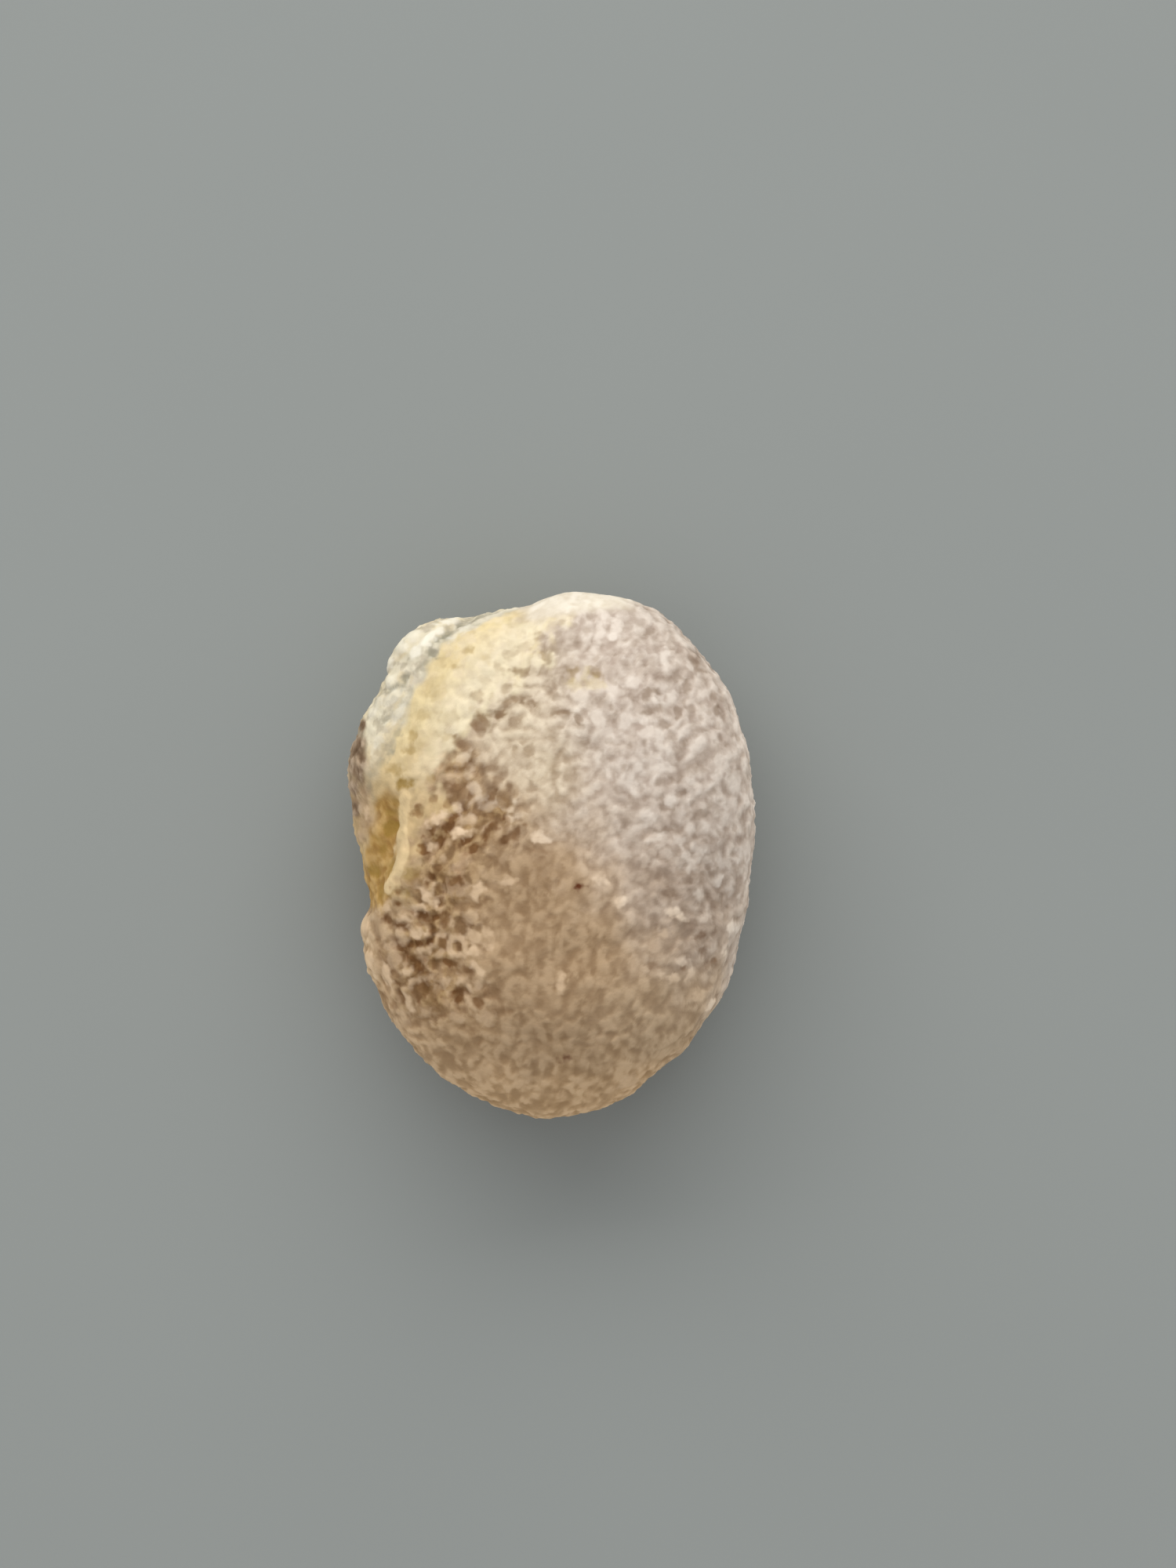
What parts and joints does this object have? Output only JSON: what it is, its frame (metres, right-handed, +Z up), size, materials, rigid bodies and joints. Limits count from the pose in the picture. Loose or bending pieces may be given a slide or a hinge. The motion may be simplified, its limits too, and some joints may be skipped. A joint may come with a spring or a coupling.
{
  "type": "rough agate pebble",
  "caption": "Rough egg-shaped agate pebble with a pitted tan skin, a layered cream, ochre and white rind along one side, and a worn flat that it lies on.",
  "frame": {"origin": "on the table plane under the middle of the stone's bounding box", "axes": "+Z up from the resting flat, +Y along the stone towards its smooth cream cap, +X to the side away from the rind"},
  "size_m": [0.0194, 0.025, 0.0104],
  "materials": {
    "agate_skin": "matt, finely pitted natural skin"
  },
  "bodies": {
    "root": {"agate": "agate_skin"}
  },
  "joints": []
}
